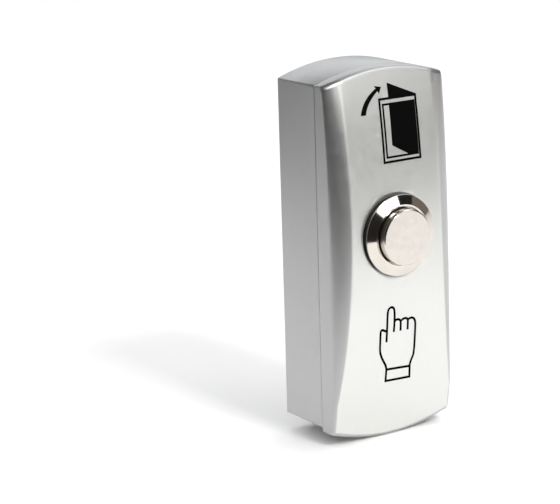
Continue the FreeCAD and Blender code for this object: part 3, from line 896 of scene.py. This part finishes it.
place_piece(make_cover(), "housing", silver, "satin_zinc", "front_cover")
box_shell = make_box()
cut_screw_hole(box_shell)
# the box's walls and ends take the painted shade too
mark_painted_shade(box_shell)
place_piece(box_shell, "housing", silver, "satin_zinc", "back_box")
place_piece(make_bezel(), "housing", nickel, "bright_nickel", "button_bezel")
place_piece(make_cap(), "button", cap_nickel, "bright_nickel", "button_cap")
for name, spring, keep in (("return", RETURN_SPRING, RETURN_KEEP),
                           ("contact", CONTACT_SPRING, CONTACT_KEEP)):
    coil = make_coil(name + "_coil", **spring)
    place_piece(coil, "housing", finishes["steel"], "steel", name + "_spring")
    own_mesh(coil)
for name, shapes in (("printed_arrow", arrow()), ("printed_door", door()),
                     ("printed_hand", hand())):
    place_piece(make_object(name, *joined(shapes)), "housing", ink, "black_plastic")

# ------------------------------------------------------------------ stage, light and camera

FLOOR_Z = -41.5
FLOOR_CORNERS = ((-5100.0, -3200.0), (-103.0, 103.0), (-8.0, 215.0), (6000.0, 2820.0),
                 (9300.0, -2200.0), (-1800.0, -8200.0))


def make_floor():
    """A wide pale floor that ends a short way in front of the object."""
    points = [(x, depth, FLOOR_Z) for x, depth in FLOOR_CORNERS]
    floor = make_object("floor", points, [tuple(range(len(points)))])
    nodes = finish_material("white_floor", 0.0, (0.93, 0.93, 0.93), (0.95, 0.95, 0.95),
                            rough=(0.7, 0.8), scales=(60.0, 40.0, 800.0), grain=0.02)
    assign(floor, nodes.material)


def sky(dark, pale):
    """A dim studio round the stage; looked at directly, it is a pale backdrop."""
    world = bpy.data.worlds.new("studio")
    world.use_nodes = True
    tree = world.node_tree
    path = tree.nodes.new("ShaderNodeLightPath")
    mix = tree.nodes.new("ShaderNodeMix")
    mix.data_type = "RGBA"
    mix.inputs["A"].default_value = (*dark, 1.0)
    mix.inputs["B"].default_value = (*pale, 1.0)
    tree.links.new(path.outputs["Is Camera Ray"], mix.inputs["Factor"])
    tree.links.new(mix.outputs["Result"], tree.nodes["Background"].inputs["Color"])
    bpy.context.scene.world = world


def direction(azimuth, elevation):
    """The direction from the object towards a place; azimuth 0 is in front, 90 on the right."""
    around, above = math.radians(azimuth), math.radians(elevation)
    return Vector((math.sin(around) * math.cos(above), -math.cos(around) * math.cos(above),
                   math.sin(above)))


def soft_light(name, azimuth, elevation, distance, width, height, radiance, colour=(1, 1, 1),
               mirrored=True, soaked=True):
    """A rectangular light that faces the object; its brightness is that of its surface."""
    light = bpy.data.lights.new(name, "AREA")
    light.shape = "RECTANGLE"
    light.size = width
    light.size_y = height
    light.energy = radiance * math.pi * width * height
    light.color = colour
    holder = bpy.data.objects.new(name, light)
    bpy.context.scene.collection.objects.link(holder)
    aim = direction(azimuth, elevation)
    holder.location = aim * distance
    holder.rotation_euler = aim.to_track_quat("Z", "Y").to_euler()
    holder.visible_glossy = mirrored
    holder.visible_diffuse = soaked
    return holder


def dark_card(azimuth, distance, width, height):
    """A dark board on the floor that only shows as a reflection."""
    aim = direction(azimuth, 0)
    middle = aim * distance
    along = Vector((-aim.y, aim.x, 0)) * width / 2
    corners = [middle - along, middle + along]
    points = [(corner.x, -corner.y, FLOOR_Z) for corner in corners]
    points += [(corner.x, -corner.y, FLOOR_Z + height) for corner in reversed(corners)]
    card = make_object("dark_card", points, [(0, 1, 2, 3)])
    nodes = finish_material("dark_board", 0.0, (0.28, 0.28, 0.285), (0.32, 0.32, 0.325),
                            rough=(0.7, 0.8), scales=(60.0, 40.0, 800.0), grain=0.02)
    assign(card, nodes.material)
    card.visible_camera = False
    card.visible_shadow = False
    card.visible_diffuse = False


make_floor()
dark_card(-147, 260.0, 420.0, 260.0)
sky((0.022, 0.021, 0.02), (0.94, 0.94, 0.94))
soft_light("overhead", 0, 90, 1.3, 4.0, 4.0, 1.06, mirrored=False)
soft_light("key", 4, 43, 0.8, 0.13, 0.13, 52.0)
soft_light("front_softbox", 18, 17, 0.6, 0.30, 0.17, 2.6)
floor_fill = soft_light("floor_fill", 33, 62, 0.26, 0.1, 0.1, 3.0, mirrored=False)
floor_fill.data.use_shadow = False
soft_light("back_softbox", 147, 25, 0.8, 0.9, 0.5, 1.15, (0.95, 0.97, 1.0))
soft_light("brown_wall", 66, 8, 0.9, 0.40, 0.42, 0.2, (1.0, 0.85, 0.74))
soft_light("edge_softbox", 45, 42, 0.8, 0.5, 0.4, 1.7, soaked=False)
soft_light("high_softbox", 102, 54, 0.8, 0.9, 0.45, 1.0, soaked=False)

CAMERA_AZIMUTH = 33.24      # degrees to the left of the front
CAMERA_HEIGHT = 14.01       # degrees above the level
CAMERA_ROLL = -1.69
CAMERA_DISTANCE = 495.83
CAMERA_ASIDE = -13.83
CAMERA_UP = -2.93
SENSOR_WIDTH = 36.0
FOCAL_LENGTH = 141.43
NEAR_CLIP = 0.01


def make_camera():
    back = direction(-CAMERA_AZIMUTH, CAMERA_HEIGHT)
    right = (-back).cross(Vector((0, 0, 1))).normalized()
    up = right.cross(-back)
    roll = math.radians(CAMERA_ROLL)
    side = right * math.cos(roll) + up * math.sin(roll)
    top = up * math.cos(roll) - right * math.sin(roll)
    camera = bpy.data.cameras.new("camera")
    camera.lens = FOCAL_LENGTH
    camera.sensor_width = SENSOR_WIDTH
    camera.clip_start = NEAR_CLIP
    holder = bpy.data.objects.new("camera", camera)
    bpy.context.scene.collection.objects.link(holder)
    place = (back * CAMERA_DISTANCE + side * CAMERA_ASIDE + top * CAMERA_UP) * MM
    turn = Matrix((side, top, back)).transposed()
    holder.matrix_world = Matrix.Translation(place) @ turn.to_4x4()
    bpy.context.scene.camera = holder


make_camera()
bpy.context.scene.view_settings.view_transform = "Standard"
